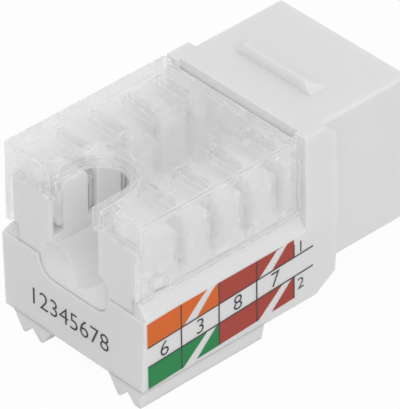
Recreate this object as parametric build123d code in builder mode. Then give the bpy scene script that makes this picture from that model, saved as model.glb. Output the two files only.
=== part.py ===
"""Keystone jack: a punch-down network socket that snaps into a wall plate or patch panel.

Millimetres. +Y looks out of the port, +X is the labelled side, Z is up. The origin is under the
middle of the jack, level with its feet.
"""

import os
from math import cos, radians, tan

from build123d import *

os.makedirs("parts", exist_ok=True)

# Clearances
fit = 0.1
seat = 0.03
hinge_clear = 0.15

# Plan sizes
block_width = 14.6
edge_round = 0.25

# Heights, stacked from the feet upwards
foot_height = 1.6
cover_thickness = 1.15
rail_height = 2.35
board_thickness = 1.2
body_height = 3.7
headroom = 2.0

# Port, stacked from the contact wires upwards, and its floor downwards
wire_clear = 0.25
groove_depth = 0.55
port_height = 6.8
clip_notch_height = 1.5
clip_neck_height = 0.8
port_roof = 1.3
bed_depth = 2.05
block_floor = 1.45
port_wall = 1.4
clip_neck_width = 4.0
clip_notch_width = 6.3
clip_end_wall = 2.0
front_lip = 1.1

# Catches that hold the panel edge
catch_setback = 7.55
panel_gap = 0.95
lug_width = 8.8
lug_shift = -0.3
lug_height = 1.1
lug_run = 1.9
lug_end_run = 0.9

# Ears beside the port block
ear_proud = 0.66
ear_length = 3.4
ear_overhang = 0.4
ear_top_chamfer = 1.0
ear_toe_share = 0.62
ear_toe_rise = 1.45

# Tray behind the port block
rim_flat = 0.6
ledge_run = 1.0
ledge_drop = 1.3
wall_foot = 1.35
rail_width = 0.8
rear_wall = 1.2
rear_wall_drop = 1.4
bulkhead = 1.2
cable_gate_depth = 1.85

# Terminal block
channel_width = 5.6
row_inset = 0.2
rear_face_inset = 0.25
first_slot = 4.5
slot_pitch = 3.5
slot_count = 4
last_slot = 1.8
slot_width = 1.0
slot_mouth = 0.6
slot_floor = 1.1
slot_lead_in = 0.8
sill_drop = 0.95
sill_run = 0.45
trough_side_gap = 0.05
trough_length = 9.0
mouth_spread = 1.3
mouth_lip = 0.15
mouth_rise = 0.5
rear_rebate_height = 0.85
keeper_slot_width = 1.1
keeper_slot_depth = 1.5
keeper_slot_skin = 0.35
keeper_slot_floor = 0.9
nub_proud = 0.45
nub_width = 1.0
nub_height = 0.8
nub_setback = 2.2

# Dust cap
cap_wall = 0.75
cap_plate = 0.9
cap_proud = 0.2
cap_lift_gap = 0.25
cap_front_gap = 0.25
cap_sill_gap = 0.35
cap_round = 0.3
notch_half = 2.45
notch_straight = 2.95
notch_funnel = 0.85
notch_rim = 0.7
notch_rim_drop = 0.8
arch_width = 1.7
arch_rise = 0.9
pusher_thickness = 0.6
pusher_inset = 0.4
pusher_clear = 0.3
prong_gap = 0.6
prong_tip = 0.45
prong_taper = 1.2

# Forked contacts
blade_thickness = 0.4
blade_width = 2.0
blade_setback = 0.8
blade_tip_drop = 1.6
blade_yoke = 1.5
blade_gap = 0.4
blade_lead = 0.5
pin_width = 0.6
pin_stick = 0.6
pin_hole = 0.9

# Spring contacts in the port
contact_count = 8
contact_pitch = 1.02
wire = 0.4
wire_groove = 0.6
wire_bend = 0.45
spring_front = 0.8
spring_heel = 1.2
spring_rise = 3.6
spring_reach = 0.4
tail_near = 1.5
tail_far = 3.2
tail_hole = 0.7
carrier_back = 1.2
comb_depth = 0.8

# Release latch
latch_width = 9.0
latch_end_gap = 0.7
latch_thickness = 1.0
latch_slope = 9.0
latch_barrel = 0.75
latch_setback = 1.5
latch_drop = 0.6
latch_recess = 0.7
latch_side_gap = 0.3
socket_lip = 0.5
catch_flat = 0.4
catch_run = 2.9
catch_tip = 0.35
finger_ridge = 0.9

# Ribbed feet of the base cover
foot_length = 13.1
left_foot_inset = 3.2
right_foot_inset = 1.75
foot_half = 2.2
foot_edge_draft = 0.28
tooth_offset = 1.0
tooth_flat = 0.3
tooth_valley = 0.85

# Places that follow from the sizes
block_depth = catch_setback + panel_gap + ear_length - ear_overhang
row_length = first_slot + (slot_count - 1) * slot_pitch + last_slot
total_length = block_depth + ear_overhang + sill_run + row_length + rear_face_inset
front_y = total_length / 2
rear_y = -total_length / 2
block_rear = front_y - block_depth
block_half = block_width / 2
ear_half = block_half + ear_proud
ear_front = front_y - catch_setback - panel_gap
ear_rear = block_rear - ear_overhang
ear_toe_run = ear_toe_share * ear_length
catch_y = front_y - catch_setback

wall_base = foot_height
rail_low = wall_base + cover_thickness
board_low = rail_low + rail_height
board_top = board_low + board_thickness
shoulder_z = board_top + body_height
ledge_low = shoulder_z - ledge_drop
rear_wall_top = shoulder_z - rear_wall_drop

groove_low = board_top + wire_clear
port_low = groove_low + groove_depth
port_high = port_low + port_height
clip_neck_low = port_high + clip_notch_height
block_top = clip_neck_low + clip_neck_height + port_roof
bed_low = port_low - bed_depth
block_bottom = bed_low - block_floor
block_height = block_top - block_bottom
port_half = block_half - port_wall
port_width = 2 * port_half
clip_depth = block_depth - clip_end_wall
tower_top = block_top - headroom
tower_height = tower_top - shoulder_z

rim_half = block_half
tray_half = rim_half - rim_flat
ledge_half = rim_half + ledge_run
wall_foot_half = tray_half + wall_foot
tray_length = block_rear - rear_y

row_inner = channel_width / 2
row_outer = rim_half - row_inset
row_width = row_outer - row_inner
row_middle = (row_inner + row_outer) / 2
row_rear = rear_y + rear_face_inset
body_half = tray_half - seat
body_rear = rear_y + rear_wall + fit
sill_rear = ear_rear - sill_run
sill_top = block_top - sill_drop
slot_low = shoulder_z + slot_floor
slot_half = slot_width / 2
slot_centres = [row_rear + first_slot + i * slot_pitch for i in range(slot_count)]
blade_middle = row_inner + blade_setback
blade_places = [(side * blade_middle, y) for side in (-1, 1) for y in slot_centres]
fin_places = [(side * row_middle, y) for side in (-1, 1) for y in slot_centres]
cable_gate_half = row_inner + mouth_spread
cable_gate_low = rear_wall_top - cable_gate_depth
cable_gate_round = cable_gate_depth - fit
cable_gate_height = 2 * (cable_gate_depth + cable_gate_round)
keeper_low = shoulder_z + keeper_slot_floor
keeper_y = row_rear + keeper_slot_skin + keeper_slot_width / 2
rear_rebate_depth = cap_wall + fit - rear_face_inset
nub_y = rear_y + nub_setback
nub_z = shoulder_z + cap_lift_gap + arch_rise

cap_half = row_outer + fit + cap_wall
cap_inner_half = row_outer + fit
cap_top = block_top + cap_proud
cap_ceiling = cap_top - cap_plate
cap_bottom = shoulder_z + cap_lift_gap
cap_front = ear_rear - cap_front_gap
plate_front = sill_rear - cap_sill_gap
skirt_low = tower_top - rear_rebate_height + fit
notch_y = rear_y + notch_straight

blade_tip = tower_top - blade_tip_drop
blade_low = slot_low - blade_yoke
pin_low = board_low - pin_stick

wire_z = groove_low + wire / 2
carrier_half = port_half - fit
carrier_rear = block_rear + fit
carrier_front = front_y - front_lip - fit
comb_face = carrier_rear + carrier_back
contact_span = (contact_count - 1) * contact_pitch
contact_xs = [i * contact_pitch - contact_span / 2 for i in range(contact_count)]
tail_rows = [block_rear - tail_near, block_rear - tail_far]
tail_ys = [tail_rows[min(i, contact_count - 1 - i) % 2] for i in range(contact_count)]

latch_half = latch_width / 2
hinge_y = front_y - latch_setback
hinge_z = block_bottom - latch_drop
socket_radius = latch_barrel + hinge_clear
latch_length = block_depth - latch_setback - latch_end_gap
foot_front = rear_y + foot_length
left_foot_x = left_foot_inset - wall_foot_half
right_foot_x = wall_foot_half - right_foot_inset
slope = radians(latch_slope)
half_drop = latch_thickness / 2 / cos(slope)
arm_end = hinge_y - latch_length * cos(slope)


def arm_middle(y):
    """Height of the latch arm's middle line at a place along the jack."""
    return hinge_z - (hinge_y - y) * tan(slope)


# Fixed catch: a wedge with sloped ends that rises from the front and ends in a step
with BuildPart() as fixed_catch:
    with BuildSketch(Plane.YZ.offset(lug_shift - lug_width / 2)):
        with BuildLine():
            Polyline(
                (catch_y, block_top),
                (catch_y + lug_run, block_top),
                (catch_y, block_top + lug_height),
                close=True,
            )
        make_face()
    extrude(amount=lug_width)
    with BuildSketch(Plane.XZ.offset(-catch_y - lug_run)):
        with BuildLine():
            Polyline(
                (lug_shift - lug_width / 2, block_top),
                (lug_shift - lug_width / 2 + lug_end_run, block_top + lug_height),
                (lug_shift + lug_width / 2 - lug_end_run, block_top + lug_height),
                (lug_shift + lug_width / 2, block_top),
                close=True,
            )
        make_face()
    extrude(amount=lug_run, mode=Mode.INTERSECT)

# Jack housing: port block, ears, tray and fixed catch in one moulding
with BuildPart() as jack_housing:
    # Ear: it carries the wall's outer face up to the top and has its two front corners cut off
    with BuildSketch(Plane.XZ.offset(-ear_front)):
        with BuildLine():
            Polyline(
                (tray_half, wall_base),
                (wall_foot_half, wall_base),
                (ledge_half, ledge_low),
                (ear_half, block_top),
                (tray_half, block_top),
                close=True,
            )
        make_face()
    extrude(amount=ear_front - ear_rear)
    with BuildSketch(Plane.YZ):
        with BuildLine():
            Polyline(
                (ear_rear, wall_base),
                (ear_front - ear_toe_run, wall_base),
                (ear_front, wall_base + ear_toe_rise),
                (ear_front, block_top - ear_top_chamfer),
                (ear_front - ear_top_chamfer, block_top),
                (ear_rear, block_top),
                close=True,
            )
        make_face()
    extrude(amount=2 * ledge_half, mode=Mode.INTERSECT)
    # Tray wall with its sloped ledge
    with BuildSketch(Plane.XZ.offset(-block_rear)):
        with BuildLine():
            Polyline(
                (tray_half, wall_base),
                (wall_foot_half, wall_base),
                (ledge_half, ledge_low),
                (rim_half, shoulder_z),
                (tray_half, shoulder_z),
                close=True,
            )
        make_face()
    extrude(amount=tray_length)
    # Rail inside the wall: the board lies on it and the base cover closes against it
    with BuildSketch(Plane.XZ.offset(-block_rear)):
        with Locations((tray_half - rail_width / 2, rail_low + rail_height / 2)):
            Rectangle(rail_width, rail_height)
    extrude(amount=tray_length)
    mirror(about=Plane.YZ)
    # Port block
    with BuildSketch(Plane.XZ.offset(-front_y)):
        with Locations((0, block_bottom + block_height / 2)):
            RectangleRounded(block_width, block_height, edge_round)
    extrude(amount=block_depth)
    # Bulkhead that closes the tray under the port block
    with BuildSketch(Plane.XZ.offset(-block_rear)):
        with Locations((0, (wall_base + board_low) / 2)):
            Rectangle(2 * tray_half, board_low - wall_base)
    extrude(amount=bulkhead)
    # Rear wall with the round-cornered gate under the cable
    with BuildSketch(Plane.XZ.offset(-rear_y - rear_wall)):
        with Locations((0, (wall_base + rear_wall_top) / 2)):
            Rectangle(2 * tray_half, rear_wall_top - wall_base)
        with Locations((0, cable_gate_low + cable_gate_height / 2)):
            RectangleRounded(
                2 * cable_gate_half, cable_gate_height, cable_gate_round, mode=Mode.SUBTRACT
            )
    extrude(amount=rear_wall)
    # Above the rear wall the ends of the tray walls step back, level with the towers
    step_height = shoulder_z - rear_wall_top
    with Locations((0, rear_y + rear_face_inset / 2, rear_wall_top + step_height / 2)):
        Box(2 * ledge_half, rear_face_inset, step_height, mode=Mode.SUBTRACT)
    add(fixed_catch.part)
    # Lip under the front edge that holds the latch's root
    with BuildSketch(Plane.YZ.offset(-latch_half)):
        with BuildLine():
            Polyline(
                (hinge_y, block_bottom),
                (front_y, block_bottom),
                (front_y, hinge_z - socket_radius),
                (hinge_y + latch_barrel, hinge_z - socket_radius - socket_lip),
                (hinge_y, hinge_z - socket_radius - socket_lip),
                close=True,
            )
        make_face()
    extrude(amount=latch_width)
    # Socket for the latch's root, and the room above its arm
    with BuildSketch(Plane.YZ.offset(-latch_half - latch_side_gap)):
        with Locations((hinge_y, hinge_z)):
            Circle(socket_radius)
        with Locations(((block_rear + hinge_y) / 2, block_bottom + latch_recess / 2)):
            Rectangle(hinge_y - block_rear, latch_recess)
    extrude(amount=latch_width + 2 * latch_side_gap, mode=Mode.SUBTRACT)
    # Port: the plug cavity runs through, the clip notch stops short of the rear
    with BuildSketch(Plane.XZ.offset(-front_y)):
        with Locations((0, port_low + port_height / 2)):
            Rectangle(port_width, port_height)
    extrude(amount=block_depth, mode=Mode.SUBTRACT)
    with BuildSketch(Plane.XZ.offset(-front_y)):
        with Locations((0, port_high + clip_notch_height / 2)):
            Rectangle(clip_notch_width, clip_notch_height)
        with Locations((0, clip_neck_low + clip_neck_height / 2)):
            Rectangle(clip_neck_width, clip_neck_height)
    extrude(amount=clip_depth, mode=Mode.SUBTRACT)
    # Bed of the contact carrier behind the front lip
    with BuildSketch(Plane.XZ.offset(-front_y + front_lip)):
        with Locations((0, bed_low + bed_depth / 2)):
            Rectangle(port_width, bed_depth)
    extrude(amount=block_depth - front_lip, mode=Mode.SUBTRACT)

# Terminal block: two rows of towers, the cable channel and the sill at the port block
with BuildPart() as terminal_block:
    # Body that drops between the tray walls and steps over the rear wall
    with BuildSketch(Plane.YZ.offset(-body_half)):
        with BuildLine():
            Polyline(
                (row_rear, rear_wall_top),
                (body_rear, rear_wall_top),
                (body_rear, board_top),
                (ear_rear, board_top),
                (ear_rear, shoulder_z),
                (row_rear, shoulder_z),
                close=True,
            )
        make_face()
    extrude(amount=2 * body_half)
    # Apron that fills the gate in the rear wall
    apron_half = cable_gate_half - seat
    apron_low = cable_gate_low + seat
    with BuildSketch(Plane.XZ.offset(-body_rear)):
        with Locations((0, apron_low + cable_gate_height / 2)):
            RectangleRounded(2 * apron_half, cable_gate_height, cable_gate_round - seat)
        with Locations((0, (apron_low + shoulder_z) / 2)):
            Rectangle(2 * apron_half, shoulder_z - apron_low, mode=Mode.INTERSECT)
    extrude(amount=body_rear - row_rear)
    # Rows of towers with a flared wire slot between each two
    with BuildSketch(Plane.YZ.offset(row_inner), Plane.YZ.offset(-row_outer)):
        with Locations(((row_rear + sill_rear) / 2, (shoulder_z + tower_top) / 2)):
            Rectangle(row_length, tower_height)
        for slot_y in slot_centres:
            left = slot_y - slot_half
            right = slot_y + slot_half
            mouth_low = tower_top - slot_mouth
            with BuildLine():
                CenterArc((left - slot_mouth, mouth_low), slot_mouth, 90, -90)
                Polyline((left, mouth_low), (left, slot_low), (right, slot_low), (right, mouth_low))
                CenterArc((right + slot_mouth, mouth_low), slot_mouth, 180, -90)
                Line((right + slot_mouth, tower_top), (left - slot_mouth, tower_top))
            make_face(mode=Mode.SUBTRACT)
    extrude(amount=row_width)
    # Sill behind the port block, with a tongue between the ears
    sill_height = sill_top - shoulder_z
    tongue_front = block_rear - seat
    with Locations((0, (sill_rear + ear_rear) / 2, shoulder_z + sill_height / 2)):
        Box(2 * row_outer, sill_run, sill_height)
    with Locations((0, (ear_rear + tongue_front) / 2, shoulder_z + sill_height / 2)):
        Box(2 * body_half, tongue_front - ear_rear, sill_height)
    # Rounded lead-in for the wire at the outer end of each slot
    with BuildSketch(Plane.XY.offset(slot_low)):
        for slot_y in slot_centres:
            corner_y = slot_y + slot_half
            with BuildLine():
                Polyline(
                    (row_outer - slot_lead_in, corner_y),
                    (row_outer, corner_y),
                    (row_outer, corner_y + slot_lead_in),
                )
                CenterArc((row_outer - slot_lead_in, corner_y + slot_lead_in), slot_lead_in, 0, -90)
            make_face()
        mirror(about=Plane.YZ)
    extrude(amount=block_top - slot_low, mode=Mode.SUBTRACT)
    # Pockets for the forked contacts, each with a hole for its pin
    pocket_height = block_top - blade_low
    with Locations(*[(x, y, blade_low + pocket_height / 2) for x, y in blade_places]):
        Box(blade_thickness + fit, blade_width + 2 * fit, pocket_height, mode=Mode.SUBTRACT)
    with Locations(*[(x, y, (board_top + blade_low) / 2) for x, y in blade_places]):
        Box(blade_thickness + fit, pin_width + 2 * fit, blade_low - board_top, mode=Mode.SUBTRACT)
    # Trough that leads the cable down to the rear wall
    trough_radius = row_inner - trough_side_gap
    trough_rise = trough_radius / trough_length
    trough_plane = Plane(
        origin=(0, rear_y - trough_length, shoulder_z - trough_radius),
        x_dir=(1, 0, 0),
        z_dir=(0, 1, trough_rise),
    )
    with BuildSketch(trough_plane):
        Circle(trough_radius)
    extrude(amount=2 * trough_length, mode=Mode.SUBTRACT)
    # Bell mouth that spreads the trough out to the edge of the apron
    mouth_half = apron_half - mouth_lip
    mouth_low = apron_low + mouth_lip
    mouth_height = shoulder_z + mouth_rise - mouth_low
    with BuildSketch(Plane.XZ.offset(-row_rear)):
        with Locations((0, mouth_low + mouth_height / 2)):
            RectangleRounded(2 * mouth_half, mouth_height, cable_gate_round - seat - mouth_lip)
    extrude(amount=-(mouth_spread - trough_side_gap), taper=45, mode=Mode.SUBTRACT)
    # Rebate for the cap's rear skirt
    with Locations((0, row_rear + rear_rebate_depth / 2, tower_top - rear_rebate_height / 2)):
        Box(2 * row_outer, rear_rebate_depth, rear_rebate_height, mode=Mode.SUBTRACT)
    # Keeper slots in the inner sides of the rear towers
    keeper_x = row_inner + keeper_slot_depth / 2
    with Locations(*[(side * keeper_x, keeper_y, (keeper_low + tower_top) / 2) for side in (-1, 1)]):
        Box(keeper_slot_depth, keeper_slot_width, tower_top - keeper_low, mode=Mode.SUBTRACT)
    # Nubs in the arches of the cap's side walls
    with BuildSketch(Plane.YZ.offset(row_outer), Plane.YZ.offset(-row_outer - nub_proud)):
        with Locations((nub_y, nub_z)):
            Rectangle(nub_width, nub_height)
    extrude(amount=nub_proud)
    # Room under the body for the spring contacts' tails
    tail_room_rear = min(tail_rows) - wire
    tail_room_height = wire_z + wire / 2 + fit - board_top
    with Locations((0, (tail_room_rear + ear_rear) / 2, board_top + tail_room_height / 2)):
        Box(contact_span + 3 * wire, ear_rear - tail_room_rear, tail_room_height, mode=Mode.SUBTRACT)

# Dust cap: clear cover with side walls, a short rear skirt and the cable notch
with BuildPart() as dust_cap:
    with BuildSketch(Plane.XY.offset(cap_bottom)):
        with Locations((0, (rear_y + cap_front) / 2)):
            RectangleRounded(2 * cap_half, cap_front - rear_y, cap_round)
    extrude(amount=cap_top - cap_bottom)
    fillet(dust_cap.faces().sort_by(Axis.Z)[-1].edges(), cap_round)
    # Hollow, open to the front and below the rear skirt
    with BuildSketch(Plane.XY.offset(cap_bottom)):
        with Locations((0, (rear_y + cap_wall + cap_front) / 2)):
            Rectangle(2 * cap_inner_half, cap_front - rear_y - cap_wall)
    extrude(amount=cap_ceiling - cap_bottom, mode=Mode.SUBTRACT)
    with BuildSketch(Plane.XY.offset(cap_bottom)):
        with Locations((0, rear_y + cap_wall / 2)):
            Rectangle(2 * cap_inner_half, cap_wall)
    extrude(amount=skirt_low - cap_bottom, mode=Mode.SUBTRACT)
    # The top plate stops short of the sill
    with BuildSketch(Plane.XY.offset(cap_ceiling)):
        with Locations((0, (plate_front + cap_front) / 2)):
            Rectangle(2 * cap_inner_half, cap_front - plate_front)
    extrude(amount=cap_plate, mode=Mode.SUBTRACT)
    # Rim round the cable notch, then the notch and its funnel
    with BuildSketch(Plane.XY.offset(cap_ceiling - notch_rim_drop)):
        with Locations((0, notch_y)):
            Circle(notch_half + notch_rim)
        with Locations((0, (rear_y + cap_wall + notch_y) / 2)):
            Rectangle(2 * (notch_half + notch_rim), notch_straight - cap_wall)
    extrude(amount=notch_rim_drop)
    with BuildSketch(Plane.XY.offset(skirt_low)):
        with Locations((0, notch_y)):
            Circle(notch_half)
        with Locations((0, notch_y - notch_straight)):
            Rectangle(2 * notch_half, 2 * notch_straight)
    extrude(amount=cap_top - skirt_low, mode=Mode.SUBTRACT)
    with BuildSketch(Plane.XY.offset(cap_top)):
        with Locations((0, notch_y)):
            Circle(notch_half + notch_funnel)
        with Locations((0, notch_y - notch_straight)):
            Rectangle(2 * (notch_half + notch_funnel), 2 * notch_straight)
    extrude(amount=-notch_funnel, taper=45, mode=Mode.SUBTRACT)
    # Arches over the nubs
    with BuildSketch(Plane.YZ.offset(-cap_half)):
        with Locations((nub_y, cap_bottom + arch_rise)):
            Circle(arch_width / 2)
        with Locations((nub_y, cap_bottom + arch_rise / 2)):
            Rectangle(arch_width, arch_rise)
    extrude(amount=2 * cap_half, mode=Mode.SUBTRACT)
    # Fins that press the wires into the slots
    fin_length = row_width - 2 * pusher_inset
    fin_low = blade_tip + pusher_clear
    with Locations(*[(x, y, (fin_low + cap_ceiling) / 2) for x, y in fin_places]):
        Box(fin_length, pusher_thickness, cap_ceiling - fin_low)
    # Prongs that drop into the keeper slots, each with its tip cut on the rear side
    prong_rear = keeper_y - keeper_slot_width / 2 + fit
    prong_front = keeper_y + keeper_slot_width / 2 - fit
    prong_low = keeper_low + prong_gap
    prong_depth = keeper_slot_depth - 2 * fit
    with BuildSketch(Plane.YZ.offset(row_inner + fit), Plane.YZ.offset(-row_inner - fit - prong_depth)):
        with BuildLine():
            Polyline(
                (prong_rear, cap_ceiling),
                (prong_rear, prong_low + prong_taper),
                (prong_front - prong_tip, prong_low),
                (prong_front, prong_low),
                (prong_front, cap_ceiling),
                close=True,
            )
        make_face()
    extrude(amount=prong_depth)

# Base cover: plate against the rails, with two ribbed feet under it
with BuildPart() as base_cover:
    cover_rear = rear_y + rear_wall + fit
    cover_front = block_rear - bulkhead - fit
    with BuildSketch(Plane.XY.offset(wall_base)):
        with Locations((0, (cover_rear + cover_front) / 2)):
            Rectangle(2 * (tray_half - fit), cover_front - cover_rear)
    extrude(amount=cover_thickness)
    with BuildSketch(Plane.XZ.offset(-foot_front)):
        with BuildLine():
            Polyline(
                (left_foot_x - foot_half, wall_base),
                (left_foot_x - tooth_offset - tooth_flat / 2, 0),
                (left_foot_x - tooth_offset + tooth_flat / 2, 0),
                (left_foot_x, tooth_valley),
                (left_foot_x + tooth_offset - tooth_flat / 2, 0),
                (left_foot_x + tooth_offset + tooth_flat / 2, 0),
                (left_foot_x + foot_half, wall_base),
                close=True,
            )
        make_face()
        with BuildLine():
            Polyline(
                (right_foot_x - foot_half, wall_base),
                (right_foot_x - tooth_offset - tooth_flat / 2, 0),
                (right_foot_x - tooth_offset + tooth_flat / 2, 0),
                (right_foot_x, tooth_valley),
                (right_foot_x + tooth_offset - tooth_flat / 2, 0),
                (wall_foot_half - foot_edge_draft, 0),
                (wall_foot_half, wall_base),
                close=True,
            )
        make_face()
    extrude(amount=foot_length)

# Release latch: sloped arm on a round root, with the moving catch and a finger ridge
with BuildPart() as release_latch:
    with BuildSketch(Plane.YZ.offset(-latch_half)):
        with Locations((hinge_y, hinge_z)):
            Circle(latch_barrel)
        with BuildLine():
            Polyline(
                (hinge_y, hinge_z + half_drop),
                (arm_end, arm_middle(arm_end) + half_drop),
                (arm_end, arm_middle(arm_end) - half_drop),
                (hinge_y, hinge_z - half_drop),
                close=True,
            )
        make_face()
        with BuildLine():
            Polyline(
                (catch_y, arm_middle(catch_y)),
                (catch_y, catch_tip),
                (catch_y + catch_flat, catch_tip),
                (catch_y + catch_run, arm_middle(catch_y + catch_run)),
                close=True,
            )
        make_face()
        with BuildLine():
            Polyline(
                (arm_end, arm_middle(arm_end)),
                (arm_end, 0),
                (arm_end + finger_ridge / 2, 0),
                (arm_end + finger_ridge, arm_middle(arm_end + finger_ridge)),
                close=True,
            )
        make_face()
    extrude(amount=latch_width)

# Circuit board with plated holes for the forked and the spring contacts
with BuildPart() as circuit_board:
    board_rear = rear_y + rear_wall + fit
    board_front = ear_rear
    with BuildSketch(Plane.XY.offset(board_low)):
        with Locations((0, (board_rear + board_front) / 2)):
            Rectangle(2 * (tray_half - fit), board_front - board_rear)
        with Locations(*blade_places):
            Circle(pin_hole / 2, mode=Mode.SUBTRACT)
        with Locations(*zip(contact_xs, tail_ys)):
            Circle(tail_hole / 2, mode=Mode.SUBTRACT)
    extrude(amount=board_thickness)

# Contact carrier: floor with a groove for each wire, and the comb behind the port
with BuildPart() as contact_carrier:
    with BuildSketch(Plane.YZ.offset(-carrier_half)):
        with BuildLine():
            Polyline(
                (carrier_rear, bed_low),
                (carrier_front, bed_low),
                (carrier_front, port_low),
                (comb_face, port_low),
                (comb_face, port_high - fit),
                (carrier_rear, port_high - fit),
                close=True,
            )
        make_face()
    extrude(amount=2 * carrier_half)
    comb_top = port_low + spring_rise + wire
    groove_y = (carrier_rear + carrier_front) / 2
    with Locations(*[(x, groove_y, groove_low + groove_depth / 2) for x in contact_xs]):
        Box(wire_groove, carrier_front - carrier_rear, groove_depth, mode=Mode.SUBTRACT)
    with Locations(*[(x, comb_face - comb_depth / 2, (groove_low + comb_top) / 2) for x in contact_xs]):
        Box(wire_groove, comb_depth, comb_top - groove_low, mode=Mode.SUBTRACT)

named_parts = {
    "jack_housing": jack_housing,
    "terminal_block": terminal_block,
    "dust_cap": dust_cap,
    "base_cover": base_cover,
    "release_latch": release_latch,
    "circuit_board": circuit_board,
    "contact_carrier": contact_carrier,
}

# Forked contacts: each stands in its pocket with its pin through the board
for number, (blade_x, blade_y) in enumerate(blade_places, start=1):
    with BuildPart() as idc_contact:
        with BuildSketch(Plane.YZ.offset(blade_x - blade_thickness / 2)):
            with Locations((blade_y, (blade_low + blade_tip) / 2)):
                Rectangle(blade_width, blade_tip - blade_low)
            with Locations((blade_y, (pin_low + blade_low) / 2)):
                Rectangle(pin_width, blade_low - pin_low)
            with Locations((blade_y, (slot_low + blade_tip) / 2)):
                Rectangle(blade_gap, blade_tip - slot_low, mode=Mode.SUBTRACT)
            with BuildLine():
                Polyline(
                    (blade_y - blade_gap / 2, blade_tip - blade_lead),
                    (blade_y - blade_gap / 2 - blade_lead, blade_tip),
                    (blade_y + blade_gap / 2 + blade_lead, blade_tip),
                    (blade_y + blade_gap / 2, blade_tip - blade_lead),
                    close=True,
                )
            make_face(mode=Mode.SUBTRACT)
        extrude(amount=blade_thickness)
    named_parts[f"idc_contact_{number}"] = idc_contact

# Spring contacts: tail through the board, along the groove, round the heel and back into the comb
for number, (contact_x, tail_y) in enumerate(zip(contact_xs, tail_ys), start=1):
    heel_y = carrier_front - spring_front
    with BuildPart() as port_contact:
        with BuildSketch(Plane.YZ.offset(contact_x - wire / 2)):
            with BuildLine():
                FilletPolyline(
                    (tail_y, pin_low),
                    (tail_y, wire_z),
                    (heel_y, wire_z),
                    (heel_y, wire_z + spring_heel),
                    (comb_face - spring_reach, port_low + spring_rise),
                    radius=wire_bend,
                )
            trace(line_width=wire)
        extrude(amount=wire)
    named_parts[f"port_contact_{number}"] = port_contact

for node, piece in named_parts.items():
    piece.part.label = node
    export_step(piece.part, f"parts/{node}.step")
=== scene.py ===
"""Keystone jack: finishes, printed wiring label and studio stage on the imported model."""

import math

import bpy
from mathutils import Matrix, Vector


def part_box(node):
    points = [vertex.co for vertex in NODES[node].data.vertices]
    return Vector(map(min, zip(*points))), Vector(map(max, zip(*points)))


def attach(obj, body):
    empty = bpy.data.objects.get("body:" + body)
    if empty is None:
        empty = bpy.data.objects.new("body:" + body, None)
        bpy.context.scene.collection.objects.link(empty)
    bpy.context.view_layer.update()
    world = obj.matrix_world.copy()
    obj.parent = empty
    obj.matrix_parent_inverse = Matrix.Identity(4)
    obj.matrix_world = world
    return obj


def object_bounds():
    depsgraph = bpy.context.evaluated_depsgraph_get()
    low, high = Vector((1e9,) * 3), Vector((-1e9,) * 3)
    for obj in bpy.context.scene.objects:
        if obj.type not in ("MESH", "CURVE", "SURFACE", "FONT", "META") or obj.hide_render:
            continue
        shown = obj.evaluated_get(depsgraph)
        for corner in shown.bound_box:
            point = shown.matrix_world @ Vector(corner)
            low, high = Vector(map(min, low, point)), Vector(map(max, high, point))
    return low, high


bl_info = {
    "name": "Keystone Jack Dresser",
    "version": (1, 0, 0),
    "blender": (4, 5, 0),
    "location": "3D View > Sidebar > Jack",
    "description": "Gives the network socket its plastics, metals, printed label and studio stage",
    "category": "Object",
}

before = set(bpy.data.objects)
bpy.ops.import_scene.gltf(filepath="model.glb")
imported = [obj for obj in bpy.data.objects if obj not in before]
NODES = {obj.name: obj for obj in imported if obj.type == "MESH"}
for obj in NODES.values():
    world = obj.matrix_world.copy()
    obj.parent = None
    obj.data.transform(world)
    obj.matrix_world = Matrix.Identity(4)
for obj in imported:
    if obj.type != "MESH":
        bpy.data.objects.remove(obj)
CAD_LOW, CAD_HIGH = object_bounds()

COUNT_OF_WIRES = 8
MM = 0.001
WHITE = (1.0, 1.0, 1.0, 1.0)

# Edges of the label's columns and rows in millimetres, along and up the label
COLUMNS = (0.0, 3.57, 7.61, 11.69, 15.76)
ROWS = (0.0, 2.24, 4.24, 6.65)

# Front end of the long lines, and how far the upper end line stops short of the top
LINE_END = 17.85
END_DROP = 1.1

# Inks of the fields from the rear to the front, where every second field is striped
FIELD_INKS = {
    "upper": ("orange", "orange", "brown", "brown"),
    "lower": ("green", "green", "brown", "brown"),
}

# Bare band of a striped field: shares of its width, at its lower and at its upper edge
BAND_START = (0.05, 0.7)
BAND_END = (0.4, 0.96)

# Wire numbers from the rear to the front, and the row numbers with their middles on the label
WIRE_NUMBERS = ("6", "3", "8", "7")
ROW_NUMBER_ALONG = COLUMNS[4] + 0.75
ROW_NUMBERS_UP = {"1": ROWS[2] + 0.75, "2": ROWS[1] - 1.05}

# Print rides on the housing; its lines and numbers are thicker than its fields by this factor
PRINT_BODY = "housing"
LINE_LIFT = 1.6

# The cap's prongs, where the cap gets a painted glint of milky white: half of the width that holds both,
# and their reach from the cap's rear and top
PRONG_ASIDE = 4.5 * MM
PRONG_REACH = 1.9 * MM
PRONG_DROP = 2.95 * MM


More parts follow.
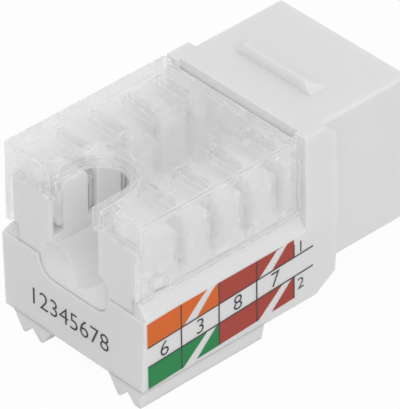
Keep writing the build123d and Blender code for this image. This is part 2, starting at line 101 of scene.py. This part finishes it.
class JackColours(bpy.types.PropertyGroup):
    """Colours of the mouldings, metals and inks."""

    body_white: bpy.props.FloatVectorProperty(
        name="Housing White",
        description="Colour of the housing, cover and latch",
        subtype="COLOR",
        min=0.0,
        max=1.0,
        default=(0.83, 0.83, 0.83),
    )
    block_white: bpy.props.FloatVectorProperty(
        name="Terminal White",
        description="Colour of the terminal block and, a little darker, of the contact carrier",
        subtype="COLOR",
        min=0.0,
        max=1.0,
        default=(0.85, 0.85, 0.85),
    )
    cap_tint: bpy.props.FloatVectorProperty(
        name="Cap Tint",
        description="Colour that the clear cap gives to what is seen through it",
        subtype="COLOR",
        min=0.0,
        max=1.0,
        default=(0.995, 0.995, 0.995),
    )
    # Milky white of the cap's faint haze, and also of its painted highlights along the edges and its
    # painted glint on the prongs
    cap_haze_and_highlight: bpy.props.FloatVectorProperty(
        name="Cap Haze",
        description="Colour of the milky haze in the clear cap",
        subtype="COLOR",
        min=0.0,
        max=1.0,
        default=(0.985, 0.985, 0.985),
    )
    tin: bpy.props.FloatVectorProperty(
        name="Tin Plate",
        description="Colour of the forked contacts",
        subtype="COLOR",
        min=0.0,
        max=1.0,
        default=(0.92, 0.92, 0.91),
    )
    gold: bpy.props.FloatVectorProperty(
        name="Gold Plate",
        description="Colour of the spring contacts",
        subtype="COLOR",
        min=0.0,
        max=1.0,
        default=(0.83, 0.62, 0.25),
    )
    solder_mask: bpy.props.FloatVectorProperty(
        name="Solder Mask",
        description="Colour of the circuit board",
        subtype="COLOR",
        min=0.0,
        max=1.0,
        default=(0.03, 0.16, 0.07),
    )
    ink_orange: bpy.props.FloatVectorProperty(
        name="Orange Ink",
        description="Colour of the orange fields",
        subtype="COLOR",
        min=0.0,
        max=1.0,
        default=(0.76, 0.15, 0.022),
    )
    ink_brown: bpy.props.FloatVectorProperty(
        name="Brown Ink",
        description="Colour of the red-brown fields",
        subtype="COLOR",
        min=0.0,
        max=1.0,
        default=(0.42, 0.062, 0.043),
    )
    ink_green: bpy.props.FloatVectorProperty(
        name="Green Ink",
        description="Colour of the green fields",
        subtype="COLOR",
        min=0.0,
        max=1.0,
        default=(0.02, 0.25, 0.075),
    )
    ink_grey: bpy.props.FloatVectorProperty(
        name="Grey Ink",
        description="Colour of the lines and numbers",
        subtype="COLOR",
        min=0.0,
        max=1.0,
        default=(0.055, 0.055, 0.06),
    )


class JackPrint(bpy.types.PropertyGroup):
    """Places and sizes of the print on the side wall and the rear face."""

    wall_foot: bpy.props.FloatVectorProperty(
        name="Wall Foot",
        description="Lower edge of the labelled wall, from the middle and from the ground",
        size=2,
        unit="LENGTH",
        default=(8.05 * MM, 1.6 * MM),
    )
    wall_ledge: bpy.props.FloatVectorProperty(
        name="Wall Ledge",
        description="Upper edge of the labelled wall, from the middle and from the ground",
        size=2,
        unit="LENGTH",
        default=(8.3 * MM, 8.7 * MM),
    )
    label_corner: bpy.props.FloatVectorProperty(
        name="Label Corner",
        description="Lower rear corner of the label, along the jack and up the wall",
        size=2,
        unit="LENGTH",
        default=(-14.09 * MM, 0.19 * MM),
    )
    label_tilt: bpy.props.FloatProperty(
        name="Label Tilt",
        description="Turn of the label on the wall",
        subtype="ANGLE",
        default=math.radians(2.7),
    )
    ink_height: bpy.props.FloatProperty(
        name="Ink Height",
        description="Thickness of the ink film of a field",
        unit="LENGTH",
        default=0.02 * MM,
    )
    line_width: bpy.props.FloatProperty(
        name="Line Width",
        description="Width of the printed lines",
        unit="LENGTH",
        default=0.13 * MM,
    )
    digit_height: bpy.props.FloatProperty(
        name="Digit Height",
        description="Height of the wire numbers",
        unit="LENGTH",
        default=1.45 * MM,
    )
    row_mark_height: bpy.props.FloatProperty(
        name="Row Mark Height",
        description="Height of the numbers at the ends of the rows",
        unit="LENGTH",
        default=1.1 * MM,
    )
    rear_mark_height: bpy.props.FloatProperty(
        name="Rear Mark Height",
        description="Height of the numbers on the rear face",
        unit="LENGTH",
        default=1.6 * MM,
    )
    rear_mark_place: bpy.props.FloatVectorProperty(
        name="Rear Mark Place",
        description="Middle of the mark on the rear face, across and up",
        size=2,
        unit="LENGTH",
        default=(-0.3 * MM, 4.25 * MM),
    )


class JackStage(bpy.types.PropertyGroup):
    """Camera, lamps and floor."""

    azimuth: bpy.props.FloatProperty(
        name="Azimuth",
        description="Turn of the camera round the jack",
        subtype="ANGLE",
        default=math.radians(46.839),
    )
    elevation: bpy.props.FloatProperty(
        name="Elevation",
        description="Height of the camera over the horizon",
        subtype="ANGLE",
        default=math.radians(36.645),
    )
    camera_place: bpy.props.FloatVectorProperty(
        name="Camera Place",
        description="Where the camera stands",
        subtype="TRANSLATION",
        unit="LENGTH",
        default=(0.264255, -0.248832, 0.278272),
    )
    lens: bpy.props.FloatProperty(
        name="Lens",
        description="Focal length in millimetres for a sensor 36 mm on its long side",
        default=499.75,
    )
    sky_strength: bpy.props.FloatProperty(
        name="Sky Strength",
        description="Strength of the even light from all round",
        default=0.767,
    )
    key_power: bpy.props.FloatProperty(
        name="Key Power",
        description="Power of the large soft lamp in watts",
        default=0.535,
    )
    key_offset: bpy.props.FloatVectorProperty(
        name="Key Offset",
        description="Where the large soft lamp stands, from the middle of the jack",
        subtype="TRANSLATION",
        unit="LENGTH",
        default=(0.384, -0.131, 0.331),
    )
    key_size: bpy.props.FloatProperty(
        name="Key Size",
        description="Width of the large soft lamp",
        unit="LENGTH",
        default=0.45,
    )
    floor_white: bpy.props.FloatVectorProperty(
        name="Floor White",
        description="Colour of the floor",
        subtype="COLOR",
        min=0.0,
        max=1.0,
        default=(0.76, 0.76, 0.76),
    )
    floor_glow: bpy.props.FloatProperty(
        name="Floor Glow",
        description="Share of plain white in the floor where it is seen; the rest keeps the shadow",
        subtype="FACTOR",
        min=0.0,
        max=1.0,
        default=0.96,
    )
    floor_radius: bpy.props.FloatProperty(
        name="Floor Radius",
        description="Radius of the floor",
        unit="LENGTH",
        default=3.0,
    )
    floor_drop: bpy.props.FloatProperty(
        name="Floor Drop",
        description="How far the floor lies under the feet",
        unit="LENGTH",
        default=0.02 * MM,
    )


class Value:
    """One shader socket that takes part in Python arithmetic."""

    def __init__(self, finish, socket):
        self.finish = finish
        self.socket = socket

    def __add__(self, other):
        return self.finish.math("ADD", self, other)

    def __radd__(self, other):
        return self.finish.math("ADD", other, self)

    def __sub__(self, other):
        return self.finish.math("SUBTRACT", self, other)

    def __rsub__(self, other):
        return self.finish.math("SUBTRACT", other, self)

    def __mul__(self, other):
        return self.finish.math("MULTIPLY", self, other)

    def __rmul__(self, other):
        return self.finish.math("MULTIPLY", other, self)

    def __pow__(self, other):
        return self.finish.math("POWER", self, other)


class Finish:
    """A material or a sky under construction."""

    def __init__(self, owner):
        self.owner = owner
        owner.use_nodes = True
        self.tree = owner.node_tree
        self.tree.nodes.clear()

    def node(self, kind, settings=None, inputs=None, output=0):
        """Add a node, set it, fill its sockets and give back one of its outputs."""
        made = self.tree.nodes.new(kind)
        for name, value in (settings or {}).items():
            setattr(made, name, value)
        for name, value in (inputs or {}).items():
            if isinstance(value, Value):
                self.tree.links.new(value.socket, made.inputs[name])
            else:
                made.inputs[name].default_value = value
        return None if output is None else Value(self, made.outputs[output])

    def math(self, operation, first, second=0.0):
        """A Math node on one or two values."""
        return self.node("ShaderNodeMath", {"operation": operation}, {0: first, 1: second})

    def mix(self, factor, first, second):
        """Mix of two shaders."""
        return self.node("ShaderNodeMixShader", None, {0: factor, 1: first, 2: second})

    def blend(self, factor, first, second):
        """Mix of two colours."""
        sockets = {0: factor, 6: rgba(first), 7: rgba(second)}
        return self.node("ShaderNodeMix", {"data_type": "RGBA"}, sockets, output=2)

    def place(self):
        """Object coordinates."""
        return self.node("ShaderNodeTexCoord", output="Object")

    def axis(self, place, name):
        """One coordinate of a place."""
        return self.node("ShaderNodeSeparateXYZ", None, {0: place}, output=name)

    def noise(self, place, scale, detail, roughness=0.5):
        """Noise from 0 to 1."""
        sockets = {"Vector": place, "Scale": scale, "Detail": detail, "Roughness": roughness}
        return self.node("ShaderNodeTexNoise", None, sockets)

    def bump(self, height, strength, distance):
        """Normals from a height."""
        sockets = {"Strength": strength, "Distance": distance, "Height": height}
        return self.node("ShaderNodeBump", None, sockets)

    def flatness(self, radius):
        """1 on flat faces, falling towards edges nearer than a radius."""
        rounded = self.node("ShaderNodeBevel", {"samples": 6}, {"Radius": radius})
        normal = self.node("ShaderNodeNewGeometry", output="Normal")
        settings = {"operation": "DOT_PRODUCT"}
        return self.node("ShaderNodeVectorMath", settings, {0: rounded, 1: normal}, output="Value")

    def seen(self):
        """1 for what the camera sees, directly, mirrored or through clear pieces, else 0."""
        camera = self.node("ShaderNodeLightPath", output="Is Camera Ray")
        path = camera.socket.node
        mirrored = Value(self, path.outputs["Is Glossy Ray"])
        through = Value(self, path.outputs["Is Transmission Ray"])
        return self.math("MAXIMUM", self.math("MAXIMUM", camera, mirrored), through)

    def close(self, shader, output="ShaderNodeOutputMaterial"):
        """Join a shader to the output."""
        self.node(output, None, {"Surface": shader}, output=None)
        return self.owner


def new_finish(name):
    """A fresh material to build up."""
    return Finish(bpy.data.materials.new(name))


def rgba(colour):
    """A colour with full alpha."""
    return (*colour[:3], 1.0)


def dimmed(colour, share):
    """A colour made darker, down to a share of its light."""
    return tuple(channel * share for channel in colour[:3])


def moulded_white(name, colour, roughness):
    """White moulding with a fine spark-eroded grain and faint clouding from the melt."""
    cloud_dimming = 0.965
    grain_roughness = 0.12
    finish = new_finish(name)
    place = finish.place()
    cloud = finish.noise(place, scale=260.0, detail=2.0)
    grain = finish.noise(place, scale=7000.0, detail=3.0, roughness=0.6)
    shader = finish.node(
        "ShaderNodeBsdfPrincipled",
        None,
        {
            "Base Color": finish.blend(cloud, dimmed(colour, cloud_dimming), colour),
            "Roughness": roughness + grain * grain_roughness,
            "Specular IOR Level": 0.42,
            "Subsurface Weight": 0.6,
            "Subsurface Radius": (1.0, 1.0, 1.0),
            "Subsurface Scale": 0.7 * MM,
            "Normal": finish.bump(grain, strength=0.12, distance=0.02 * MM),
        },
    )
    return finish.close(shader)


def painted_glint_prong_mask(finish, place, cap):
    """Mask for the painted glint: 1 on the two prongs below the cap's rear skirt and 0 on the rest of the
    cap.
    """
    rear = cap.bound_box[0][1]
    top = cap.bound_box[6][2]
    aside = finish.math("ABSOLUTE", finish.axis(place, "X"))
    across = finish.math("LESS_THAN", aside, PRONG_ASIDE)
    along = finish.math("LESS_THAN", finish.axis(place, "Y"), rear + PRONG_REACH)
    down = finish.math("LESS_THAN", finish.axis(place, "Z"), top - PRONG_DROP)
    return across * along * down


def clear_plastic(name, cap, tint, haze_and_highlight_milk):
    """Clear moulding that bends part of what shows behind it, with a faint milky haze, milky white
    painted highlights along its edges and a milky white painted glint on its prongs.
    """
    plain_haze = 0.15
    flow_haze = 0.08
    edge_painted_highlight = 1.5
    prong_painted_glint = 0.8
    head_on_sheen = 0.045
    sheen_power = 5.0
    polish = 0.06
    flow_roughness = 0.08
    bent_share = 0.35
    finish = new_finish(name)
    place = finish.place()
    flow = finish.noise(place, scale=420.0, detail=2.0)
    slant = finish.node("ShaderNodeLayerWeight", None, {"Blend": 0.5}, output="Facing")
    # Edges turned milky white: painted highlights that stand in for the bright lines which rounded clear
    # edges catch
    edge = 1.0 - finish.flatness(0.25 * MM)
    haze = plain_haze + flow * flow_haze + edge * edge_painted_highlight
    # Prongs turned milky white: a painted glint that lifts them out of the shade of their slot
    haze = haze + painted_glint_prong_mask(finish, place, cap) * prong_painted_glint
    sheen = head_on_sheen + slant**sheen_power * (1.0 - head_on_sheen)
    through = finish.node("ShaderNodeBsdfTransparent", None, {"Color": rgba(tint)})
    mirror = finish.node("ShaderNodeBsdfAnisotropic", None, {"Color": WHITE, "Roughness": polish})
    straight = finish.mix(sheen, through, mirror)
    bent = finish.node(
        "ShaderNodeBsdfPrincipled",
        None,
        {
            "Base Color": WHITE,
            "Roughness": polish + flow * flow_roughness,
            "IOR": 1.5,
            "Transmission Weight": 1.0,
        },
    )
    clear = finish.mix(finish.seen() * bent_share, straight, bent)
    # Milky layer: the faint haze of the clear plastic, and the painted highlights on the edges and the
    # painted glint on the prongs
    matt = finish.node("ShaderNodeBsdfDiffuse", None, {"Color": rgba(haze_and_highlight_milk)})
    glow = finish.node("ShaderNodeBsdfTranslucent", None, {"Color": rgba(haze_and_highlight_milk)})
    milky = finish.mix(0.5, matt, glow)
    return finish.close(finish.mix(haze, clear, milky))


def plated_metal(name, colour, roughness, metallic):
    """Thin plated sheet with drawn streaks."""
    drawn_out = (1.0, 1.0, 0.06)
    streak_dimming = 0.86
    streak_roughness = 0.14
    finish = new_finish(name)
    stretched = finish.node("ShaderNodeMapping", None, {"Vector": finish.place(), "Scale": drawn_out})
    streak = finish.noise(stretched, scale=9000.0, detail=3.0)
    shader = finish.node(
        "ShaderNodeBsdfPrincipled",
        None,
        {
            "Base Color": finish.blend(streak, dimmed(colour, streak_dimming), colour),
            "Metallic": metallic,
            "Roughness": roughness + streak * streak_roughness,
            "Normal": finish.bump(streak, strength=0.08, distance=0.01 * MM),
        },
    )
    return finish.close(shader)


def board_mask(name, colour, roughness):
    """Solder mask over a faint woven base."""
    weave_share = 0.3
    cloud_share = 0.5
    mask_dimming = 0.8
    cloud_roughness = 0.12
    finish = new_finish(name)
    place = finish.place()
    weave = finish.node("ShaderNodeTexChecker", None, {"Vector": place, "Scale": 2600.0}, output="Fac")
    cloud = finish.noise(place, scale=500.0, detail=2.0)
    pattern = weave * weave_share + cloud * cloud_share
    shader = finish.node(
        "ShaderNodeBsdfPrincipled",
        None,
        {
            "Base Color": finish.blend(pattern, dimmed(colour, mask_dimming), colour),
            "Roughness": roughness + cloud * cloud_roughness,
            "Normal": finish.bump(weave, strength=0.05, distance=0.01 * MM),
        },
    )
    return finish.close(shader)


def printed_ink(name, colour):
    """Pad-printed ink with a slightly uneven film."""
    film_dimming = 0.93
    film_roughness = 0.5
    speck_roughness = 0.16
    finish = new_finish(name)
    place = finish.place()
    film = finish.noise(place, scale=900.0, detail=3.0)
    speck = finish.noise(place, scale=9000.0, detail=2.0)
    shader = finish.node(
        "ShaderNodeBsdfPrincipled",
        None,
        {
            "Base Color": finish.blend(film, dimmed(colour, film_dimming), colour),
            "Roughness": film_roughness + speck * speck_roughness,
            "Specular IOR Level": 0.25,
        },
    )
    return finish.close(shader)


def paint(names, material):
    """Give CAD nodes a finish."""
    for name in names:
        for slot in NODES[name].material_slots:
            slot.material = material


def deselect():
    """Clear the selection, so that operators act on the new piece alone."""
    bpy.ops.object.select_all(action="DESELECT")


def settle(piece, name, ink):
    """Name a finished piece of print, give it its ink and let it ride the housing."""
    piece.name = name
    piece.data.name = name
    piece.data.materials.clear()
    piece.data.materials.append(ink)
    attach(piece, PRINT_BODY)


def wall_point(sizes, along, up, proud):
    """A point on the labelled wall, given along and up the label and proud of the plastic."""
    foot = Vector((sizes.wall_foot[0], 0.0, sizes.wall_foot[1]))
    ledge = Vector((sizes.wall_ledge[0], 0.0, sizes.wall_ledge[1]))
    rise = (ledge - foot).normalized()
    outward = Vector((rise.z, 0.0, -rise.x))
    cosine = math.cos(sizes.label_tilt)
    sine = math.sin(sizes.label_tilt)
    place_y = sizes.label_corner[0] + along * cosine - up * sine
    height = sizes.label_corner[1] + along * sine + up * cosine
    height = min(height, (ledge - foot).length - sizes.line_width)
    return foot + Vector((0.0, place_y, 0.0)) + rise * height + outward * proud


def film_block(name, ink_height):
    """A unit sheet with the thickness of the ink, partly sunk in the plastic, ready to be laid out."""
    sunk_share = 0.4
    deselect()
    bpy.ops.mesh.primitive_plane_add(size=1.0, location=(0.5, 0.5, 0.0))
    sheet = bpy.context.object
    sheet.name = name
    bpy.ops.object.transform_apply(location=True, rotation=True, scale=True)
    bpy.ops.object.mode_set(mode="EDIT")
    bpy.ops.mesh.select_all(action="SELECT")
    bpy.ops.mesh.subdivide(number_cuts=3)
    bpy.ops.mesh.select_all(action="SELECT")
    bpy.ops.mesh.extrude_region_move(TRANSFORM_OT_translate={"value": (0.0, 0.0, ink_height)})
    bpy.ops.mesh.select_all(action="SELECT")
    bpy.ops.mesh.normals_make_consistent(inside=False)
    bpy.ops.transform.translate(value=(0.0, 0.0, -sunk_share * ink_height))
    bpy.ops.object.mode_set(mode="OBJECT")
    return sheet


def lay_field(sheet, sizes, corners):
    """Lay a unit sheet on the wall between four corners, in millimetres on the label."""
    low_left, low_right, top_right, top_left = [Vector(corner) * MM for corner in corners]
    for vertex in sheet.data.vertices:
        across, up, proud = vertex.co
        low = low_left.lerp(low_right, across)
        high = top_left.lerp(top_right, across)
        spot = low.lerp(high, up)
        vertex.co = wall_point(sizes, spot.x, spot.y, proud)
    sheet.data.update()


def number_mesh(text, height):
    """Plain figures as a mesh of the given height and a thickness of 1, centred."""
    deselect()
    bpy.ops.object.text_add(location=(0.0, 0.0, 0.0))
    words = bpy.context.object
    words.data.body = text
    words.data.align_x = "CENTER"
    words.data.resolution_u = 6
    words.data.extrude = 0.02
    words.data.offset = -0.012
    bpy.ops.object.convert(target="MESH")
    figures = bpy.context.object
    points = [vertex.co for vertex in figures.data.vertices]
    low = [min(point[axis] for point in points) for axis in range(3)]
    high = [max(point[axis] for point in points) for axis in range(3)]
    scale = height / (high[1] - low[1])
    for vertex in figures.data.vertices:
        centred = [vertex.co[axis] - (low[axis] + high[axis]) / 2 for axis in range(3)]
        vertex.co = (centred[0] * scale, centred[1] * scale, centred[2] / (high[2] - low[2]))
    return figures


def colours():
    """The colour settings of the scene."""
    return bpy.context.scene.jack_colours


def print_sizes():
    """The print settings of the scene."""
    return bpy.context.scene.jack_print


class JACK_OT_paint_housing(bpy.types.Operator):
    """Give the housing, its base cover and the release latch their white finish"""

    bl_idname = "jack.paint_housing"
    bl_label = "Paint Housing"

    def execute(self, context):
        white = moulded_white("housing_moulding", colours().body_white, roughness=0.4)
        paint(("jack_housing", "base_cover", "release_latch"), white)
        return {"FINISHED"}


class JACK_OT_paint_terminals(bpy.types.Operator):
    """Give the terminal block and the forked contacts their finish"""

    bl_idname = "jack.paint_terminals"
    bl_label = "Paint Terminals"

    def execute(self, context):
        white = moulded_white("terminal_moulding", colours().block_white, roughness=0.36)
        paint(("terminal_block",), white)
        tin = plated_metal("tin_plate", colours().tin, roughness=0.42, metallic=0.4)
        paint([f"idc_contact_{i + 1}" for i in range(COUNT_OF_WIRES)], tin)
        return {"FINISHED"}


class JACK_OT_paint_cap(bpy.types.Operator):
    """Give the dust cap its clear finish"""

    bl_idname = "jack.paint_cap"
    bl_label = "Paint Cap"

    def execute(self, context):
        cap = NODES["dust_cap"]
        paint(("dust_cap",), clear_plastic("clear_cap", cap, colours().cap_tint, colours().cap_haze_and_highlight))
        return {"FINISHED"}


class JACK_OT_paint_port(bpy.types.Operator):
    """Give the carrier, the spring contacts and the circuit board their finishes"""

    bl_idname = "jack.paint_port"
    bl_label = "Paint Port"

    def execute(self, context):
        carrier_white = dimmed(colours().block_white, 0.94)
        paint(("contact_carrier",), moulded_white("carrier_moulding", carrier_white, roughness=0.45))
        gold = plated_metal("gold_plate", colours().gold, roughness=0.16, metallic=1.0)
        paint([f"port_contact_{i + 1}" for i in range(COUNT_OF_WIRES)], gold)
        paint(("circuit_board",), board_mask("board_mask", colours().solder_mask, roughness=0.34))
        return {"FINISHED"}


class JACK_OT_print_fields(bpy.types.Operator):
    """Print the coloured fields of the wiring label on the side wall"""

    bl_idname = "jack.print_fields"
    bl_label = "Print Fields"

    def execute(self, context):
        inks = {
            "orange": printed_ink("ink_orange", colours().ink_orange),
            "brown": printed_ink("ink_brown", colours().ink_brown),
            "green": printed_ink("ink_green", colours().ink_green),
        }
        rows = {"upper": (ROWS[2], ROWS[3]), "lower": (ROWS[0], ROWS[1])}
        for row_name, row in rows.items():
            for column, ink_name in enumerate(FIELD_INKS[row_name]):
                name = f"label_{row_name}_{ink_name}"
                if column % 2:
                    self.striped(f"{name}_striped", column, row, inks[ink_name])
                else:
                    self.plain(name, column, row, inks[ink_name])
        return {"FINISHED"}

    def plain(self, name, column, row, ink):
        """One whole field."""
        left, right = COLUMNS[column], COLUMNS[column + 1]
        corners = ((left, row[0]), (right, row[0]), (right, row[1]), (left, row[1]))
        sheet = film_block(name, print_sizes().ink_height)
        lay_field(sheet, print_sizes(), corners)
        settle(sheet, name, ink)

    def striped(self, name, column, row, ink):
        """A field with a bare band that rises to the right."""
        left = COLUMNS[column]
        width = COLUMNS[column + 1] - left
        low, high = row
        before = ((0.0, low), (BAND_START[0], low), (BAND_START[1], high), (0.0, high))
        after = ((BAND_END[0], low), (1.0, low), (1.0, high), (BAND_END[1], high))
        halves = []
        for outline in (before, after):
            corners = [(left + share * width, up) for share, up in outline]
            sheet = film_block(name, print_sizes().ink_height)
            lay_field(sheet, print_sizes(), corners)
            halves.append(sheet)
        deselect()
        for sheet in halves:
            sheet.select_set(True)
        bpy.context.view_layer.objects.active = halves[0]
        bpy.ops.object.join()
        settle(halves[0], name, ink)


class JACK_OT_print_lines(bpy.types.Operator):
    """Print the thin lines between the fields"""

    bl_idname = "jack.print_lines"
    bl_label = "Print Lines"

    def execute(self, context):
        ink = printed_ink("ink_lines", colours().ink_grey)
        for number, level in enumerate(ROWS[1:3], start=1):
            self.rule(f"label_row_line_{number}", (0.0, level), (LINE_END, level), ink)
        for number, place in enumerate(COLUMNS[1:4], start=1):
            self.rule(f"label_column_line_{number}", (place, ROWS[0]), (place, ROWS[3]), ink)
        end = COLUMNS[4]
        self.rule("label_end_line_lower", (end, ROWS[0]), (end, ROWS[1]), ink)
        self.rule("label_end_line_upper", (end, ROWS[2]), (end, ROWS[3] - END_DROP), ink)
        return {"FINISHED"}

    def rule(self, name, start, end, ink):
        """One straight line, a touch prouder than the fields under it."""
        start = Vector(start)
        end = Vector(end)
        aside = (end - start).normalized().orthogonal() * print_sizes().line_width / 2 / MM
        corners = (start - aside, end - aside, end + aside, start + aside)
        sheet = film_block(name, LINE_LIFT * print_sizes().ink_height)
        lay_field(sheet, print_sizes(), corners)
        settle(sheet, name, ink)


class JACK_OT_print_numbers(bpy.types.Operator):
    """Print the wire numbers and the row numbers of the label"""

    bl_idname = "jack.print_numbers"
    bl_label = "Print Numbers"

    def execute(self, context):
        sizes = print_sizes()
        ink = printed_ink("ink_numbers", colours().ink_grey)
        middle = (ROWS[1] + ROWS[2]) / 2
        for column, text in enumerate(WIRE_NUMBERS):
            along = (COLUMNS[column] + COLUMNS[column + 1]) / 2
            self.stamp(f"label_wire_number_{text}", text, along, middle, sizes.digit_height, ink)
        for text, up in ROW_NUMBERS_UP.items():
            name = f"label_row_number_{text}"
            self.stamp(name, text, ROW_NUMBER_ALONG, up, sizes.row_mark_height, ink)
        return {"FINISHED"}

    def stamp(self, name, text, along, up, height, ink):
        """One number, given its middle on the label in millimetres."""
        sizes = print_sizes()
        thickness = LINE_LIFT * sizes.ink_height
        figures = number_mesh(text, height)
        for vertex in figures.data.vertices:
            x, y, z = vertex.co
            vertex.co = wall_point(sizes, along * MM + x, up * MM + y, z * thickness)
        figures.data.update()
        settle(figures, name, ink)


class JACK_OT_print_rear_mark(bpy.types.Operator):
    """Print the plain range of wire numbers on the rear face"""

    bl_idname = "jack.print_rear_mark"
    bl_label = "Print Rear Mark"

    def execute(self, context):
        sizes = print_sizes()
        thickness = LINE_LIFT * sizes.ink_height
        place = sizes.rear_mark_place
        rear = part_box("jack_housing")[0][1]
        ink = printed_ink("ink_rear_mark", colours().ink_grey)
        text = "".join(str(i + 1) for i in range(COUNT_OF_WIRES))
        figures = number_mesh(text, sizes.rear_mark_height)
        for vertex in figures.data.vertices:
            x, y, z = vertex.co
            vertex.co = (place[0] + x, rear - z * thickness, place[1] + y)
        figures.data.update()
        settle(figures, "rear_number_mark", ink)
        return {"FINISHED"}


class JACK_OT_set_stage(bpy.types.Operator):
    """Set the camera, the even sky, the soft lamp and the white floor"""

    bl_idname = "jack.set_stage"
    bl_label = "Set Stage"

    def execute(self, context):
        stage = context.scene.jack_stage
        context.scene.view_settings.view_transform = "Standard"
        self.light_paths(context.scene.cycles)
        self.camera(context, stage)
        self.sky(context, stage)
        self.key_lamp(stage)
        self.floor(stage)
        return {"FINISHED"}

    def light_paths(self, cycles):
        """Enough bounces for white slots and for the many walls and fins of the clear cap."""
        cycles.max_bounces = 40
        cycles.diffuse_bounces = 12
        cycles.glossy_bounces = 32
        cycles.transmission_bounces = 32
        cycles.transparent_max_bounces = 40

    def camera(self, context, stage):
        """The camera at the photograph's viewing angle."""
        bpy.ops.object.camera_add(location=stage.camera_place)
        camera = bpy.context.object
        camera.name = "camera"
        camera.rotation_euler = (math.pi / 2 - stage.elevation, 0.0, stage.azimuth)
        camera.data.lens = stage.lens
        camera.data.sensor_width = 36.0
        camera.data.clip_start = 0.01
        camera.data.clip_end = 20.0
        context.scene.camera = camera

    def sky(self, context, stage):
        """Even light from all round, white where it is seen."""
        world = bpy.data.worlds.new("studio_sky")
        context.scene.world = world
        finish = Finish(world)
        sockets = {"Color": WHITE, "Strength": stage.sky_strength}
        light = finish.node("ShaderNodeBackground", None, sockets)
        white = finish.node("ShaderNodeBackground", None, {"Color": WHITE, "Strength": 1.0})
        finish.close(finish.mix(finish.seen(), light, white), "ShaderNodeOutputWorld")

    def key_lamp(self, stage):
        """A large soft lamp over the labelled side."""
        target = (CAD_LOW + CAD_HIGH) / 2
        place = target + Vector(stage.key_offset)
        bpy.ops.object.light_add(type="AREA", location=place)
        lamp = bpy.context.object
        lamp.name = "key_lamp"
        lamp.data.shape = "DISK"
        lamp.data.size = stage.key_size
        lamp.data.energy = stage.key_power
        lamp.rotation_euler = (target - place).to_track_quat("-Z", "Y").to_euler()

    def floor(self, stage):
        """A white floor that fades into the background and keeps a faint shadow."""
        deselect()
        place = (0.0, 0.0, -stage.floor_drop)
        radius = stage.floor_radius
        bpy.ops.mesh.primitive_circle_add(vertices=64, radius=radius, fill_type="NGON", location=place)
        disc = bpy.context.object
        disc.name = "stage_floor"
        finish = new_finish("floor_white")
        matt = finish.node("ShaderNodeBsdfDiffuse", None, {"Color": rgba(stage.floor_white)})
        white = finish.node("ShaderNodeEmission", None, {"Color": WHITE, "Strength": 1.0})
        shader = finish.mix(finish.seen() * stage.floor_glow, matt, white)
        disc.data.materials.append(finish.close(shader))


class JACK_PT_panel(bpy.types.Panel):
    """Buttons and settings of the jack"""

    bl_idname = "JACK_PT_panel"
    bl_label = "Keystone Jack"
    bl_space_type = "VIEW_3D"
    bl_region_type = "UI"
    bl_category = "Jack"

    def draw(self, context):
        for operator in OPERATORS:
            self.layout.operator(operator.bl_idname)
        for group in (context.scene.jack_colours, context.scene.jack_print, context.scene.jack_stage):
            box = self.layout.box()
            for name in group.bl_rna.properties.keys():
                if name not in ("rna_type", "name"):
                    box.prop(group, name)


OPERATORS = (
    JACK_OT_paint_housing,
    JACK_OT_paint_terminals,
    JACK_OT_paint_cap,
    JACK_OT_paint_port,
    JACK_OT_print_fields,
    JACK_OT_print_lines,
    JACK_OT_print_numbers,
    JACK_OT_print_rear_mark,
    JACK_OT_set_stage,
)
GROUPS = {"jack_colours": JackColours, "jack_print": JackPrint, "jack_stage": JackStage}


def register():
    """Add the classes and the settings."""
    for group in GROUPS.values():
        bpy.utils.register_class(group)
    for operator in OPERATORS:
        bpy.utils.register_class(operator)
    bpy.utils.register_class(JACK_PT_panel)
    for name, group in GROUPS.items():
        setattr(bpy.types.Scene, name, bpy.props.PointerProperty(type=group))


def unregister():
    """Take the settings and the classes away again."""
    for name in GROUPS:
        delattr(bpy.types.Scene, name)
    bpy.utils.unregister_class(JACK_PT_panel)
    for operator in reversed(OPERATORS):
        bpy.utils.unregister_class(operator)
    for group in reversed(list(GROUPS.values())):
        bpy.utils.unregister_class(group)


def main():
    """Dress the jack and set the stage."""
    register()
    bpy.ops.jack.paint_housing()
    bpy.ops.jack.paint_terminals()
    bpy.ops.jack.paint_cap()
    bpy.ops.jack.paint_port()
    bpy.ops.jack.print_fields()
    bpy.ops.jack.print_lines()
    bpy.ops.jack.print_numbers()
    bpy.ops.jack.print_rear_mark()
    bpy.ops.jack.set_stage()


if __name__ == "__main__":
    main()
